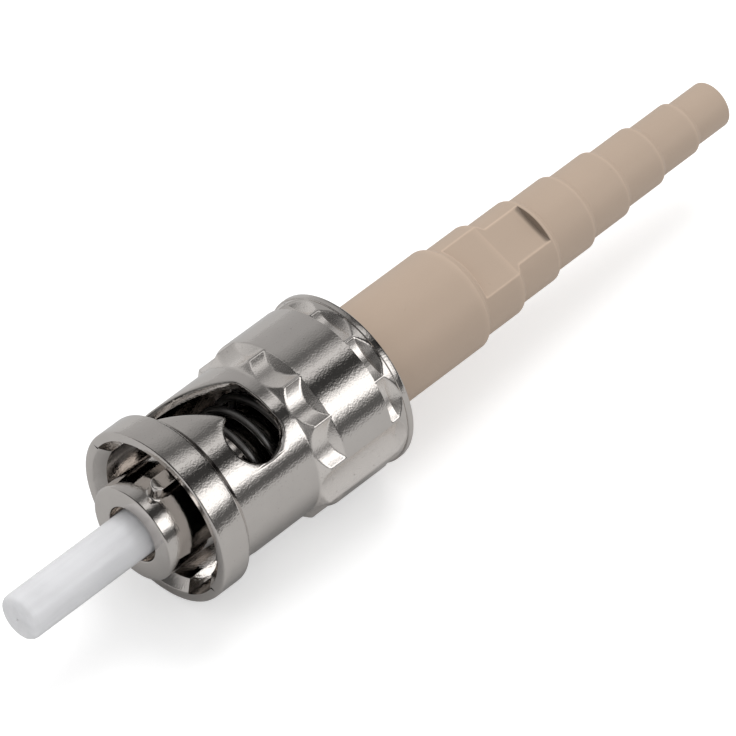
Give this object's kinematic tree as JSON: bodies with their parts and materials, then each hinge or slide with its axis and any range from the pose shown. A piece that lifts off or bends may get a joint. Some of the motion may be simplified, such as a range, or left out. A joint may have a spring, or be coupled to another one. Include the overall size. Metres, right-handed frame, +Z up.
{
  "type": "st fibre connector",
  "caption": "Bayonet fibre plug: ceramic ferrule in a keyed barrel, sprung coupling nut with two ramped slots and a fluted grip, and a stepped strain-relief boot.",
  "frame": {"origin": "on the plug's axis, at the centre of the barrel's front face, where the ferrule's free length starts", "axes": "+X along the plug's axis from the ferrule to the boot, +Z up with the plug lying on its coupling nut"},
  "size_m": [0.0491, 0.0096, 0.0096],
  "materials": {
    "zirconia": "polished",
    "nickel": "nickel plated",
    "spring_steel": "drawn wire",
    "dark_steel": "satin",
    "beige_plastic": "moulded matte",
    "clear_plastic": "extruded"
  },
  "bodies": {
    "plug": {"ferrule": "zirconia", "ferrule_holder": "nickel", "barrel": "nickel", "spring": "spring_steel", "retaining_clip": "dark_steel", "rear_body": "nickel", "lead_in_tube": "clear_plastic", "crimp_sleeve": "nickel", "boot": "beige_plastic"},
    "spring_seat": {"thrust_washer": "spring_steel"},
    "coupling_nut": {"bayonet_nut": "nickel"}
  },
  "joints": [
    {"name": "nut_slide", "type": "slide", "parent": "plug", "child": "spring_seat", "axis": [-1, 0, 0], "range_m": [0, 0.0023], "stiffness_N_per_m": 2500, "springref_m": -0.002, "deforming": ["spring"]},
    {"name": "nut_turn", "type": "hinge", "parent": "spring_seat", "child": "coupling_nut", "pos_m": [0, 0, 0], "axis": [1, 0, 0], "continuous": true}
  ]
}
